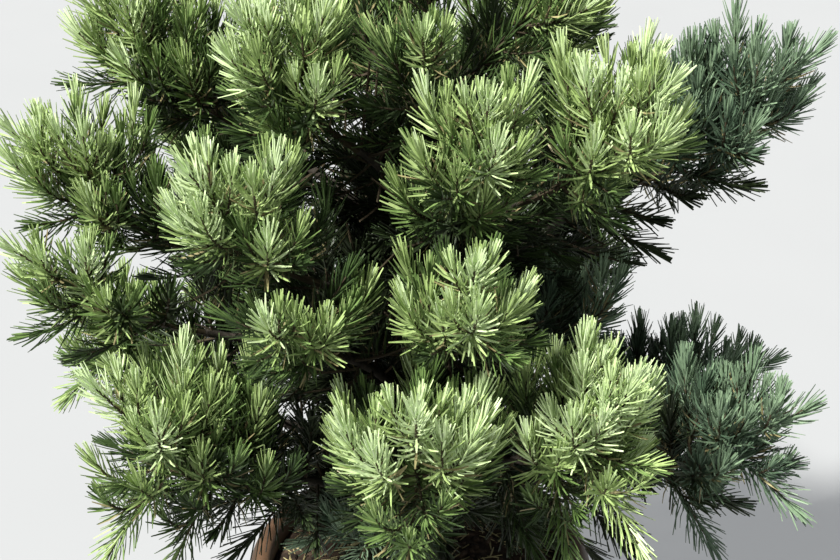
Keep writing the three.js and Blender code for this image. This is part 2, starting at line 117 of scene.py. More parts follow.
# Where along its shoots and its stem a mass has its heart.
SHOOT_HEART = 0.7
STEM_HEART = 0.8
# The outer part of a shoot that has to have room: where it starts, and how many points of it are tried.
COURSE_FROM = 0.25
COURSE_POINTS = 7
# How far a shoot stays from the next mass's space, and a needle's tip from a limb.
CELL_MARGIN = 2.5
LIMB_MARGIN = 1.2
# A path's direction is taken over this share of it on both sides, and past STEEP it counts as upright.
FRAME_STEP = 0.01
STEEP = 0.9
# The repeatable numbers that growth draws
SEED_SPREAD = 2654435761
STREAM_FACTOR = 1664525
STREAM_STEP = 1013904223
STREAM_SIZE = 2**32


class Mass(NamedTuple):
    """Azimuth in degrees from the viewer's side, positive to the right. The bough leaves the trunk at start
    and ends at reach and height, or the stem leaves it at start and climbs by rise degrees. Lift turns the shoots
    up, less hang on the underside. Room is the mass's share of the crown, and shade how much painted shade its
    needles take, for lying in the shadow of the rest."""

    name: str
    azimuth: float
    start: float
    stem: float
    whorls: int
    length: float
    lift: float
    room: float
    reach: float = 0.0
    height: float = 0.0
    rise: float = 0.0
    hang: float = 0.0
    shade: float = 0.0


def carried(name, azimuth, start, reach, height, stem, whorls, length, lift, room, hang=0.0, shade=0.0):
    return Mass(name, azimuth, start, stem, whorls, length, lift, room, reach, height, 0.0, hang, shade)


# Name, azimuth, start, reach, height, stem, whorls, length, lift and room.
BOUGHS = (
    carried("low_left_front", -48, 296, 163, 416, 132, 5, 90, 3.2, 120, hang=4.1),
    carried("low_front", 0, 318, 138, 430, 136, 5, 97, 3.2, 124, hang=4.2, shade=-0.1),
    carried("low_right_front", 32, 336, 148, 444, 114, 5, 80, 3.3, 113, hang=4.1, shade=-0.4),
    carried("low_right", 62, 304, 168, 400, 126, 4, 76, 1.9, 96, hang=2.3, shade=0.9),
    carried("low_right_back", 104, 322, 154, 366, 112, 4, 70, 0.5, 88, hang=1.2, shade=0.8),
    carried("low_back_right", 143, 300, 142, 404, 122, 4, 74, 1.7, 88, hang=2.4, shade=0.4),
    carried("low_back", -177, 326, 140, 416, 122, 4, 74, 1.8, 88, hang=2.4, shade=0.3),
    carried("low_back_left", -136, 298, 144, 400, 122, 4, 74, 1.7, 88, hang=2.4, shade=0.3),
    carried("low_left", -94, 320, 156, 408, 118, 4, 72, 1.8, 80, hang=2.4, shade=0.2),
    carried("mid_left", -75, 436, 164, 574, 124, 4, 78, 2.0, 96),
    carried("mid_left_front", -64, 408, 182, 530, 112, 4, 72, 1.8, 94),
    carried("mid_front_left", -36, 456, 122, 582, 118, 4, 82, 2.4, 100, shade=-0.1),
    carried("mid_front_low", -25, 386, 136, 534, 98, 4, 72, 2.0, 100),
    carried("mid_front", 10, 414, 128, 544, 106, 4, 76, 2.4, 100, shade=-0.2),
    carried("mid_right_back", 126, 420, 126, 540, 120, 4, 76, 1.8, 88, shade=0.4),
    carried("mid_back", 172, 402, 126, 528, 122, 4, 76, 1.8, 88, shade=0.3),
    carried("mid_back_left", -126, 418, 134, 538, 120, 4, 76, 1.8, 88, shade=0.2),
    carried("high_front", 20, 508, 76, 620, 98, 4, 74, 2.2, 104),
    carried("high_left", -100, 534, 128, 646, 118, 4, 74, 1.6, 92),
    carried("high_left_front", -48, 566, 62, 664, 98, 4, 74, 2.0, 96, shade=-0.3),
    carried("high_right_front", 52, 540, 94, 628, 120, 4, 78, 2.0, 98, shade=-0.15),
    carried("high_right", 84, 492, 152, 618, 124, 4, 76, 1.7, 94, shade=0.8),
    carried("high_right_back", 136, 556, 84, 640, 110, 4, 76, 1.8, 88, shade=0.2),
    carried("high_back", -160, 502, 88, 626, 114, 4, 76, 1.8, 88, shade=0.1),
)

# Name, azimuth, start, stem, whorls, length, lift and room.
TRUNK_MASSES = (
    Mass("top_front", -4, 652, 100, 3, 70, 0.7, 114, rise=46, shade=0.4),
    Mass("top_left", -120, 664, 112, 3, 72, 0.7, 100, rise=42),
    Mass("top_right", 92, 674, 112, 3, 72, 0.7, 100, rise=44, shade=0.3),
    Mass("inner_right", 64, 472, 150, 4, 68, 0.4, 74, rise=12, shade=0.9),
    Mass("inner_left", -104, 456, 136, 4, 68, 0.4, 74, rise=16, shade=0.7),
    Mass("inner_right_low", 82, 382, 138, 4, 66, 0.3, 72, rise=8, shade=0.9),
    Mass("inner_back_left", -152, 480, 128, 4, 68, 0.5, 74, rise=16, shade=0.8),
    Mass("inner_front", -20, 376, 112, 3, 66, 0.1, 72, rise=-4, hang=0.6, shade=0.7),
)
LEADER = Mass("leader", 0, TRUNK_TIP, 80, 3, 62, 0.8, 92, rise=90)


def mix(a, b, t):
    return a + (b - a) * t


def unit(v):
    return v / np.linalg.norm(v, axis=-1, keepdims=True)


def stream(seed):
    """The repeatable numbers from 0 to 1 that the solids grow by."""
    state = (seed + 1) * SEED_SPREAD % STREAM_SIZE
    while True:
        state = (state * STREAM_FACTOR + STREAM_STEP) % STREAM_SIZE
        yield state / STREAM_SIZE


def outward(azimuth):
    a = radians(azimuth)
    return np.array((sin(a), -cos(a), 0.0))


class Path:
    """A curve through the middle of a limb, from its first end at 0 to its last at 1."""

    def __init__(self, *corners):
        self.corners = [np.array(corner, float) for corner in corners]

    def at(self, t):
        t = np.asarray(t, float)[..., None]
        a, b, c = self.corners
        return a * (1 - t) ** 2 + b * 2 * t * (1 - t) + c * t**2

    def frame(self, t):
        """Point, direction, and the two directions across: normal, which looks up, and side."""
        t = np.asarray(t, float)
        along = unit(self.at(np.minimum(t + FRAME_STEP, 1)) - self.at(np.maximum(t - FRAME_STEP, 0)))
        steep = np.abs(along[..., 2:]) > STEEP
        guide = np.where(steep, np.array((1.0, 0.0, 0.0)), UP)
        normal = unit(guide - along * (guide * along).sum(-1, keepdims=True))
        return self.at(t), along, normal, np.cross(normal, along)

    def length(self):
        points = self.at(np.linspace(0, 1, 9))
        return np.linalg.norm(np.diff(points, axis=0), axis=1).sum()


# Paths of the trunk and boughs


def trunk_at(height):
    t = (np.asarray(height, float) - TRUNK_FOOT) / (TRUNK_TIP - TRUNK_FOOT)
    x = TRUNK_LEAN[0] * t + TRUNK_SWAY * np.sin(t * SWAY_TURN_X) * t
    y = TRUNK_LEAN[1] * t - TRUNK_SWAY * np.sin(t * SWAY_TURN_Y) * SWAY_SHARE_Y
    return np.stack((x, y, np.asarray(height, float)), axis=-1)


def trunk_radius(height, around=0.0):
    t = (height - TRUNK_FOOT) / (TRUNK_TIP - TRUNK_FOOT)
    flare = FLARE_RADIUS * np.exp(-(height - TRUNK_FOOT) / FLARE_HEIGHT)
    lobes = FLARE_MEAN + FLARE_LOBE_DEPTH * np.cos(FLARE_LOBES * around)
    return mix(TRUNK_BASE_RADIUS, TRUNK_TIP_RADIUS, t**TRUNK_TAPER) + flare * lobes


def bough_path(bough):
    start = trunk_at(bough.start)
    tip = outward(bough.azimuth) * bough.reach + UP * bough.height
    middle = mix(start, tip, BOUGH_LEVEL_OUT)
    middle[2] = mix(start[2], tip[2], BOUGH_LEVEL_UP)
    return Path(start, middle, tip)


def bough_radius(t):
    return mix(BOUGH_BASE_RADIUS, BOUGH_TIP_RADIUS, t**BOUGH_TAPER)


# Growth: the rule that the solids grow by


class Shoot(NamedTuple):
    path: Path
    length: float
    order: int


def stem_path(root, along, length, lift):
    middle = root + along * length * 0.5
    turned = unit(along + UP * lift * STEM_LIFT)
    return Path(root, middle, middle + turned * length * 0.5)


def shoot_path(start, heading, length, lift):
    middle = start + heading * length * SHOOT_BEND
    turned = unit(heading + UP * lift)
    return Path(start, middle, middle + turned * length * (1 - SHOOT_BEND))


def grow(mass, root, along, seed):
    chance = stream(seed)
    stem = stem_path(root, along, mass.stem, mass.lift)
    shoots = []
    for whorl in range(mass.whorls):
        t = mix(WHORL_FIRST, WHORL_LAST, whorl / (mass.whorls - 1))
        point, axis, normal, side = stem.frame(t)
        for roll in WHORL_ROLLS[whorl % 2]:
            turn = radians(roll + ROLL_JITTER * (next(chance) - 0.5))
            open_ = radians(mix(OPEN_FIRST, OPEN_LAST, t) + OPEN_JITTER * (next(chance) - 0.5))
            length = mass.length * mix(*SHOOT_SHARES, t) * mix(*SHOOT_JITTER, next(chance))
            away = normal * cos(turn) + side * sin(turn)
            heading = axis * cos(open_) + away * sin(open_)
            lift = mass.lift - mass.hang if roll == 180 else mass.lift
            shoots.append(Shoot(shoot_path(point, heading, length, lift), length, 1))
    end, last, _, _ = stem.frame(1.0)
    length = mass.length * TERMINAL_SHARE
    shoots.append(Shoot(shoot_path(end, last, length, 0), length, 1))
    return stem, shoots


def foot_of(mass):
    """Where a mass starts, and the direction in which its stem sets out."""
    if mass.height:
        tip, along, _, _ = bough_path(mass).frame(1.0)
        return tip + along * GAP, along
    rise = radians(mass.rise)
    return trunk_at(mass.start), outward(mass.azimuth) * cos(rise) + UP * sin(rise)


MASSES = (*BOUGHS, *TRUNK_MASSES, LEADER)
GROWN = [grow(mass, *foot_of(mass), seed) for seed, mass in enumerate(MASSES)]
HEARTS = np.array([
    np.mean([shoot.path.at(SHOOT_HEART) for shoot in shoots] + [stem.at(STEM_HEART)], axis=0)
    for stem, shoots in GROWN
])
ROOMS = np.array([mass.room for mass in MASSES], float)


def courses():
    """Every limb in straight courses: their first ends, last ends and radii."""
    heights = np.linspace(TRUNK_FOOT, TRUNK_TIP, TRUNK_COURSES + 1)
    lines = [(trunk_at(heights), trunk_radius(heights))]
    steps = np.linspace(0, 1, BOUGH_COURSES + 1)
    lines += [(bough_path(bough).at(steps), bough_radius(steps)) for bough in BOUGHS]
    starts = np.concatenate([points[:-1] for points, _ in lines])
    ends = np.concatenate([points[1:] for points, _ in lines])
    radii = np.concatenate([np.maximum(radius[:-1], radius[1:]) for _, radius in lines])
    return starts, ends, radii


LIMB_STARTS, LIMB_ENDS, LIMB_RADII = courses()


def off_limbs(points, margin):
    """Which points stay clear of the trunk and of every bough."""
    span = LIMB_ENDS - LIMB_STARTS
    offset = points[:, None] - LIMB_STARTS
    t = np.clip((offset * span).sum(-1) / (span * span).sum(-1), 0, 1)
    distance = np.linalg.norm(offset - span * t[..., None], axis=-1)
    return (distance > LIMB_RADII + margin).all(axis=1)


def in_cell(points, own, give=0.0):
    """Which points lie in a mass's own space, or no more than give outside it."""
    share = ((points[:, None] - HEARTS) ** 2).sum(-1) - ROOMS**2
    others = np.delete(share, own, axis=1).min(axis=1)
    return share[:, own] + (CELL_MARGIN - give) * ROOMS[own] < others


def free_shoot(shoot, own, give=0.0):
    """Whether a shoot has room: its course and its tuft stay in the mass's own space, off the limbs."""
    course = shoot.path.at(np.linspace(COURSE_FROM, 1, COURSE_POINTS))
    tip, along, _, _ = shoot.path.frame(1.0)
    reach = np.vstack((course, tip + along * TUFT))
    return in_cell(reach, own, give).all() and off_limbs(course, CORE_RADIUS).all()


# Growth: finer twigs, by the same rule

# Side shoots of a shoot: share of its length where they leave, roll in degrees, and length as a share of its own.
SIDE_SHOOTS = ((0.21, 84, 0.7), (0.35, -78, 0.62), (0.51, 16, 0.46))
SIDE_OPEN = 36.0
SIDE_ROLL_JITTER = 50.0
SIDE_LIFT = 2.0
SIDE_JITTER = (0.85, 1.1)
SIDE_SEED = 100
# Shoots that stand in a spiral on a stem or a bough: turn from one to the next, and angle from it, in degrees.
SHOOT_TURN = 137.5
SHOOT_OPEN = 66.0
# Short shoots that clothe a stem, and may stand a little way out of the mass's own space.
STEM_SHOOT_RUN = (0.06, 0.8)
STEM_SHOOT_COUNT = 10
STEM_SHOOT_LENGTH = 58.0
STEM_SHOOT_LIFT = 0.5
STEM_SHOOT_GIVE = 12.0
# Shoots along a bough: share of its length where the first and the last leave, and from where they are green.
BOUGH_SHOOT_RUN = (0.2, 0.97)
BOUGH_SHOOT_COUNT = 22
BOUGH_GREEN_FROM = 0.5
BOUGH_SHOOT_LENGTH = 70.0
BOUGH_SHOOT_LIFT = 0.3
BOUGH_COURSE_FROM = 0.35
BOUGH_COURSE_POINTS = 6
BOUGH_SEED = 200


def side_shoot(parent, t, roll, open_, length, lift, chance, order):
    point, axis, normal, side = parent.frame(t)
    turn = radians(roll + SIDE_ROLL_JITTER * (next(chance) - 0.5))
    angle = radians(open_ + OPEN_JITTER * (next(chance) - 0.5))
    length *= mix(*SIDE_JITTER, next(chance))
    away = normal * cos(turn) + side * sin(turn)
    heading = axis * cos(angle) + away * sin(angle)
    return Shoot(shoot_path(point, heading, length, lift), length, order)


def branched(mass, own):
    """All shoots of a mass that have room: those that the solid has, their side shoots, the stem with its own
    needles, and the short shoots that clothe it."""
    chance = stream(SIDE_SEED + own)
    shoots = [shoot for shoot in GROWN[own][1] if free_shoot(shoot, own)]
    for shoot in tuple(shoots):
        for t, roll, share in SIDE_SHOOTS:
            length = shoot.length * share
            made = side_shoot(shoot.path, t, roll, SIDE_OPEN, length, SIDE_LIFT, chance, shoot.order + 1)
            if free_shoot(made, own):
                shoots.append(made)
    stem = GROWN[own][0]
    shoots.append(Shoot(stem, mass.stem, order=3))
    for i in range(STEM_SHOOT_COUNT):
        t = mix(*STEM_SHOOT_RUN, i / (STEM_SHOOT_COUNT - 1))
        made = side_shoot(
            stem, t, SHOOT_TURN * i, SHOOT_OPEN, STEM_SHOOT_LENGTH, STEM_SHOOT_LIFT, chance, order=4
        )
        if free_shoot(made, own, STEM_SHOOT_GIVE):
            shoots.append(made)
    return shoots


def bough_shoots(own, mass):
    """The shoots that stand along a bough: old ones inside the crown, and green ones nearer its tip."""
    chance = stream(BOUGH_SEED + own)
    bough = bough_path(mass)
    old = []
    green = []
    for i in range(BOUGH_SHOOT_COUNT):
        t = mix(*BOUGH_SHOOT_RUN, i / (BOUGH_SHOOT_COUNT - 1))
        made = side_shoot(
            bough, t, SHOOT_TURN * i, SHOOT_OPEN, BOUGH_SHOOT_LENGTH, BOUGH_SHOOT_LIFT, chance, order=3
        )
        course = made.path.at(np.linspace(BOUGH_COURSE_FROM, 1, BOUGH_COURSE_POINTS))
        if off_limbs(course, CORE_RADIUS).all():
            (green if t > BOUGH_GREEN_FROM else old).append(made)
    return old, green


# Needles

# They stand in a spiral on a shoot: spacing along it, and turn from one to the next in degrees.
NEEDLE_PITCH = 0.96
NEEDLE_TURN = 137.508
NEEDLE_TURN_JITTER = 16.0
# Where the first needle and the last before the tuft stand, as shares of the shoot.
NEEDLE_BARE = 0.16
NEEDLE_LAST = 0.985
TUFT_NEEDLES = 9
TUFT_SPLAY = (0.2, 1.0)
# Angle from the shoot in degrees, wide at its foot and closing towards its tip.
SPLAY_BASE = 58.0
SPLAY_TIP = 20.0
SPLAY_CLOSING = 1.8
SPLAY_JITTER = 6.0
# How deep a needle is seated in the shoot, and how much it and its ridge turn up.
NEEDLE_SEAT = 0.4
NEEDLE_RISE = 0.1
RIDGE_RISE = 0.5
# How far a needle may stand out of its mass's own space, and out of the solids' box.
NEEDLE_GIVE = 12.0
NEEDLE_PROUD = 5.0
NEEDLE_WIDTH = 1.75
NEEDLE_THICKNESS = 0.75
NEEDLE_JITTER = (0.88, 1.06)
# Size of the needles on the shortest shoot, at the foot of any shoot and at its tip.
SHORT_SHOOT_SIZE = 0.55
SIZE_LENGTH = 160.0
FOOT_SIZE = 0.8
TIP_SIZE = 0.74
# Share of its length by which a needle curves on along the shoot, up, and at random.
CURVE_ALONG = 0.24
CURVE_UP = 0.04
CURVE_JITTER = 0.05
# Rings of a needle: share of its length, and width there as a share of its widest. Old ones are straight.
NEEDLE_RINGS = ((0.0, 0.6), (0.55, 1.0), (1.0, 0.5))
OLD_RINGS = ((0.0, 1.15), (1.0, 0.8))


class Spray(NamedTuple):
    """Needles: where each starts, where it heads, the way it curves, the way its ridge faces, and its length."""

    root: np.ndarray
    heading: np.ndarray
    curve: np.ndarray
    ridge: np.ndarray
    length: np.ndarray

    def pick(self, which):
        return Spray(*(part[which] for part in self))


def joined(sprays):
    return Spray(*(np.concatenate(parts) for parts in zip(*sprays)))


def within_reach(points):
    """Which points lie no further out than the solids, but for a few millimetres."""
    low = np.array(cad_low) / MM - NEEDLE_PROUD
    high = np.array(cad_high) / MM + NEEDLE_PROUD
    return ((points > low) & (points < high)).all(axis=1)


def spray_of(shoot, rng):
    """Needles in a spiral along a shoot, wide open at its foot and closing to a tuft at its tip."""
    size = min(1.0, SHORT_SHOOT_SIZE + shoot.length / SIZE_LENGTH)
    count = int(shoot.length * (1 - NEEDLE_BARE) / NEEDLE_PITCH)
    t = np.concatenate((np.linspace(NEEDLE_BARE, NEEDLE_LAST, count), np.full(TUFT_NEEDLES, 1.0)))
    point, along, normal, side = shoot.path.frame(t)
    jitter = rng.uniform(-NEEDLE_TURN_JITTER, NEEDLE_TURN_JITTER, len(t))
    turn = np.radians(NEEDLE_TURN * np.arange(len(t)) + jitter)[:, None]
    away = normal * np.cos(turn) + side * np.sin(turn)
    grown = (t - NEEDLE_BARE) / (1 - NEEDLE_BARE)
    splay = mix(SPLAY_BASE, SPLAY_TIP, grown**SPLAY_CLOSING) + rng.normal(0, SPLAY_JITTER, len(t))
    splay = np.radians(splay)
    splay[count:] *= rng.uniform(*TUFT_SPLAY, TUFT_NEEDLES)
    splay = splay[:, None]
    heading = unit(along * np.cos(splay) + away * np.sin(splay) + UP * NEEDLE_RISE)
    ridge = unit(away * np.cos(splay) - along * np.sin(splay) + UP * RIDGE_RISE)
    ridge = unit(ridge - heading * (ridge * heading).sum(1, keepdims=True))
    length = NEEDLE * size * mix(FOOT_SIZE, 1.0, np.minimum(grown * 3, 1)) * mix(1.0, TIP_SIZE, grown**3)
    length *= rng.uniform(*NEEDLE_JITTER, len(t))
    curve = along * CURVE_ALONG + UP * CURVE_UP + rng.normal(0, CURVE_JITTER, (len(t), 3))
    return Spray(point + away * CORE_RADIUS * NEEDLE_SEAT, heading, curve, ridge, length)


def needle_mesh(name, spray, rings):
    """One joined mesh: each needle is three-sided, with a ridge on its back and a blunt tip."""
    across = np.cross(spray.heading, spray.ridge)
    length = spray.length[:, None]
    corners = []
    for t, wide in rings:
        centre = spray.root + (spray.heading * t + spray.curve * t**2) * length
        half = across * NEEDLE_WIDTH / 2 * wide
        corners += [centre - half, centre + half, centre + spray.ridge * NEEDLE_THICKNESS * wide]
    points = np.stack(corners, axis=1)
    last = 3 * len(rings) - 3
    faces = [(0, 1, 2), (last, last + 2, last + 1)]
    for lower in range(0, last, 3):
        for j in range(3):
            a, b = lower + j, lower + (j + 1) % 3
            faces += [(a, a + 3, b + 3), (a, b + 3, b)]
    index = np.arange(len(points))[:, None, None] * len(corners) + np.array(faces)
    return array_mesh(name, points.reshape(-1, 3), index.reshape(-1, 3))


def array_mesh(name, points, faces):
    mesh = bpy.data.meshes.new(name)
    mesh.from_pydata((points * MM).tolist(), [], faces.tolist())
    return mesh


TWIG_SIDES = 4
TWIG_RINGS = 7
STEM_RINGS = 8
STEM_TIP_RADIUS = 1.6
SHOOT_RADIUS = 1.7
FINE_SHOOT_RADIUS = 1.3
SHOOT_TIP_RADIUS = 0.8


def twig_mesh(name, lines):
    """One joined mesh of closed tapering twigs. A line is a path, its two radii and its number of rings."""
    points = []
    faces = []
    start = 0
    for path, first, last, rings in lines:
        t = np.linspace(0, 1, rings)
        centre, _, normal, side = path.frame(t)
        radius = mix(first, last, t)[:, None]
        for j in range(TWIG_SIDES):
            a = 2 * pi * j / TWIG_SIDES
            points.append(centre + (normal * cos(a) + side * sin(a)) * radius)
            lower = start + j * rings + np.arange(rings - 1)
            upper = start + (j + 1) % TWIG_SIDES * rings + np.arange(rings - 1)
            faces.append(np.stack((lower, lower + 1, upper + 1, upper), axis=1))
        ends = start + np.arange(TWIG_SIDES) * rings
        faces += [ends[None], ends[None, ::-1] + rings - 1]
        start += TWIG_SIDES * rings
    return array_mesh(name, np.concatenate(points), np.concatenate(faces))


# Pieces


def finished(name, mesh, finish, slot, *nodes):
    """A piece of the plant: it rides on the one body, and stands for nodes of the solids."""
    piece = bpy.data.objects.new(name, mesh)
    bpy.context.scene.collection.objects.link(piece)
    mesh.materials.append(finish.material)
    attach(piece, "root")
    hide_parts(*nodes)


def mesh_from(bm, name):
    bm.normal_update()
    mesh = bpy.data.meshes.new(name)
    bm.to_mesh(mesh)
    bm.free()
    return mesh


def tube(bm, place, rings, sides):
    """A grid rolled up into a closed limb. place gives the point for a share along and an angle around."""
    sheet = bmesh.ops.create_grid(bm, x_segments=rings, y_segments=sides, size=0.5)["verts"]
    for vertex in sheet:
        vertex.co = Vector(place(vertex.co.x + 0.5, 2 * pi * (vertex.co.y + 0.5))) * MM
    bmesh.ops.remove_doubles(bm, verts=sheet, dist=MERGE)


def closed(bm):
    """Fills the open ends and turns every face outwards."""
    bmesh.ops.holes_fill(bm, edges=[edge for edge in bm.edges if edge.is_boundary], sides=0)
    bmesh.ops.recalc_face_normals(bm, faces=bm.faces)


# Bark: ridges run along the limb and break up into plates, deeper low on the trunk

TRUNK_RINGS = 230
TRUNK_RING_SPREAD = 1.15
TRUNK_SIDES = 44
BOUGH_RINGS = 56
BOUGH_SIDES = 14
# Depth of the bark as a share of the limb's radius, and what its plates and fine cracks give to it.
BARK_DEPTH = 0.13
BARK_PLATES = 0.75
BARK_FINE = 0.35
BARK_GRAIN = Vector((0.22, 0.22, 0.05))
BARK_FINE_GRAIN = 0.35
BOUGH_GRAIN = Vector((26.0, 1.7, 1.7))
# The trunk's foot is smooth up to one part in this many of its height.
FOOT_SMOOTH = 60.0
# A bough swells where it leaves the trunk, and a little here and there along its length.
COLLAR_SWELL = 0.5
COLLAR_REACH = 9.0
KNUCKLE_SWELL = 0.12
KNUCKLE_GRAIN = 14.0


def bark(point):
    """Height of the bark at a point in millimetres, from about -1 to 1."""
    place = Vector(point)
    plates = noise.noise(place * BARK_GRAIN)
    return plates * BARK_PLATES + noise.noise(place * BARK_FINE_GRAIN) * BARK_FINE


def trunk_place(t, around):
    height = mix(TRUNK_FOOT, TRUNK_TIP, t**TRUNK_RING_SPREAD)
    out = np.array((cos(around), sin(around), 0.0))
    radius = trunk_radius(height, around)
    centre = trunk_at(height)
    relief = bark(centre + out * radius) * min(1.0, t * FOOT_SMOOTH)
    return centre + out * radius * (1 + BARK_DEPTH * relief)


def bough_place(bough, path):
    def place(t, around):
        centre, _, normal, side = path.frame(t)
        out = normal * cos(around) + side * sin(around)
        collar = COLLAR_SWELL * exp(-max(t * path.length() - TRUNK_BASE_RADIUS, 0) / COLLAR_REACH)
        knuckle = KNUCKLE_SWELL * noise.noise(Vector((t * KNUCKLE_GRAIN, bough.azimuth, 0)))
        radius = bough_radius(t) * (1 + collar + knuckle)
        grain = Vector((t, cos(around), sin(around))) * BOUGH_GRAIN
        relief = noise.noise(grain + Vector((0, 0, bough.azimuth)))
        return centre + out * radius * (1 + BARK_DEPTH * relief)

    return place


def limb_mesh():
    bm = bmesh.new()
    tube(bm, trunk_place, TRUNK_RINGS, TRUNK_SIDES)
    for bough in BOUGHS:
        tube(bm, bough_place(bough, bough_path(bough)), BOUGH_RINGS, BOUGH_SIDES)
    closed(bm)
    for face in bm.faces:
        face.smooth = True
    return mesh_from(bm, "limbs")


# Forms of the pot and soil

POT_STEPS = 120
POT_SHARP_ANGLE = 38.0
FOOT_CHAMFER = 4.0
FOOT_EASE = 1.2
BODY_FROM = 14.0
BODY_SHORT = 10.0
BODY_RINGS = 9
# Groove under the roll: how far in it lies, and how far below the roll.
GROOVE = ((1.4, 5.0), (0.6, 0.0))
ROLL_RINGS = 14
ROLL_TURN_FIRST = -0.42 * pi
ROLL_TURN_LAST = 0.5 * pi
# Inner edge of the rim: how far out from the wall it lies, and how far below the top.
INNER_EDGE = ((3.4, 1.2), (1.0, 3.6), (0.0, 9.0))
DRAIN_PIN_LENGTH = 60.0
DRAIN_SEGMENTS = 32
SOIL_RINGS = 40
SOIL_SEGMENTS = 110
SOIL_EYE = 0.004
# Lumps of the soil: how fine they are, and how high in millimetres.
SOIL_LUMPS = (0.05, 1.6)
SOIL_FINE_LUMPS = (0.22, 0.9)
SOIL_SETTLING = 0.5
CRUMBS = 620
CRUMB_FIELD = (0.15, 0.93)
CRUMB_SPREAD = 0.6
CRUMB_SIZES = (1.2, 4.2)
CRUMB_SHAPES = (0.7, 1.5)
CRUMB_FLATNESS = 0.6
CRUMB_PROUD = 0.2
CRUMB_TILT = 0.4
CRUMB_SEED = 5


def pot_body_radius(z):
    slope = (POT_RIM_RADIUS - ROLL_DEPTH - POT_FOOT_RADIUS) / (POT_HEIGHT - ROLL_HEIGHT)
    return POT_FOOT_RADIUS + slope * z


SOIL_RADIUS = pot_body_radius(POT_HEIGHT - ROLL_HEIGHT - POT_WALL) - POT_WALL - GAP


def pot_profile():
    """Radius and height, from the middle of the foot out, up and over the rim, and down to the middle inside."""
    roll_foot = POT_HEIGHT - ROLL_HEIGHT
    roll_middle = POT_HEIGHT - ROLL_HEIGHT / 2
    neck = pot_body_radius(roll_foot)
    inner = POT_RIM_RADIUS - ROLL_DEPTH - POT_WALL
    foot = [(0, 0), (POT_FOOT_RADIUS - FOOT_CHAMFER, 0), (POT_FOOT_RADIUS - FOOT_EASE, FOOT_EASE)]
    heights = [FOOT_CHAMFER, *np.linspace(BODY_FROM, roll_foot - BODY_SHORT, BODY_RINGS)]
    body = [(pot_body_radius(z), z) for z in heights]
    groove = [(neck - depth, roll_foot - below) for depth, below in GROOVE]
    roll = [
        (POT_RIM_RADIUS - ROLL_DEPTH * (1 - cos(turn)), roll_middle + ROLL_HEIGHT / 2 * sin(turn))
        for turn in np.linspace(ROLL_TURN_FIRST, ROLL_TURN_LAST, ROLL_RINGS)
    ]
    edge = [(inner + out, POT_HEIGHT - below) for out, below in INNER_EDGE]
    inside = [(neck - POT_WALL, roll_foot - POT_WALL), (pot_body_radius(POT_FLOOR) - POT_WALL, POT_FLOOR)]
    return foot + body + groove + roll + edge + inside + [(0, POT_FLOOR)]


def pot_mesh():
    bm = bmesh.new()
    line = [bm.verts.new((radius * MM, 0, z * MM)) for radius, z in pot_profile()]
    edges = [bm.edges.new(pair) for pair in zip(line, line[1:])]
    bmesh.ops.spin(
        bm, geom=line + edges, cent=(0, 0, 0), axis=(0, 0, 1), angle=2 * pi, steps=POT_STEPS, use_merge=True
    )
    bmesh.ops.remove_doubles(bm, verts=bm.verts, dist=MERGE)
    bmesh.ops.recalc_face_normals(bm, faces=bm.faces)
    return mesh_from(bm, "pot")


def drilled(mesh):
    """The pot with its drain holes: each one cut by a pin that is then taken away."""
    pot = bpy.data.objects.new("pot_blank", mesh)
    bpy.context.scene.collection.objects.link(pot)
    pins = bmesh.new()
    for i in range(DRAIN_COUNT):
        at = Vector(outward(360 / DRAIN_COUNT * i)) * DRAIN_RING_RADIUS * MM
        radius = DRAIN_RADIUS * MM
        pin = bmesh.ops.create_cone(
            pins,
            cap_ends=True,
            segments=DRAIN_SEGMENTS,
            radius1=radius,
            radius2=radius,
            depth=DRAIN_PIN_LENGTH * MM,
        )
        bmesh.ops.translate(pins, verts=pin["verts"], vec=at)
    cutter = bpy.data.objects.new("drain_pins", mesh_from(pins, "drain_pins"))
    bpy.context.scene.collection.objects.link(cutter)
    cut = pot.modifiers.new("Drain", "BOOLEAN")
    cut.operation = "DIFFERENCE"
    cut.object = cutter
    graph = bpy.context.evaluated_depsgraph_get()
    made = bpy.data.meshes.new_from_object(pot.evaluated_get(graph))
    bpy.data.objects.remove(pot)
    bpy.data.objects.remove(cutter)
    made.shade_smooth()
    made.set_sharp_from_angle(angle=radians(POT_SHARP_ANGLE))
    return made


def soil_height(x, y):
    """Top of the soil: it rises a little to the trunk and is lumpy."""
    share = min(1.0, hypot(x, y) / pot_body_radius(SOIL_TOP))
    grain, rise = SOIL_LUMPS
    lumps = noise.noise(Vector((x, y, 0)) * grain) * rise
    grain, rise = SOIL_FINE_LUMPS
    lumps += noise.noise(Vector((x, y, 7)) * grain) * rise
    return SOIL_TOP + SOIL_CROWN * (1 - share) + lumps - SOIL_SETTLING


def soil_place(t, around):
    radius = SOIL_RADIUS * max(t, SOIL_EYE)
    x, y = radius * cos(around), radius * sin(around)
    return x, y, soil_height(x, y)


def add_crumb(bm, rng):
    """A crumb of bark or clay, pressed flat and half sunk in the soil."""
    radius = SOIL_RADIUS * rng.uniform(*CRUMB_FIELD) ** CRUMB_SPREAD
    around = rng.uniform(0, 2 * pi)
    size = rng.uniform(*CRUMB_SIZES)
    x, y = radius * cos(around), radius * sin(around)
    at = Vector((x, y, soil_height(x, y) + size * CRUMB_PROUD)) * MM
    half = Vector((rng.uniform(*CRUMB_SHAPES), 1, CRUMB_FLATNESS)) * size * MM
    turned = Matrix.Rotation(rng.uniform(0, pi), 4, "Z") @ Matrix.Rotation(rng.normal(0, CRUMB_TILT), 4, "X")
    placed = Matrix.Translation(at) @ turned @ Matrix.Diagonal((*half, 1))
    bmesh.ops.create_icosphere(bm, subdivisions=1, radius=1, matrix=placed)


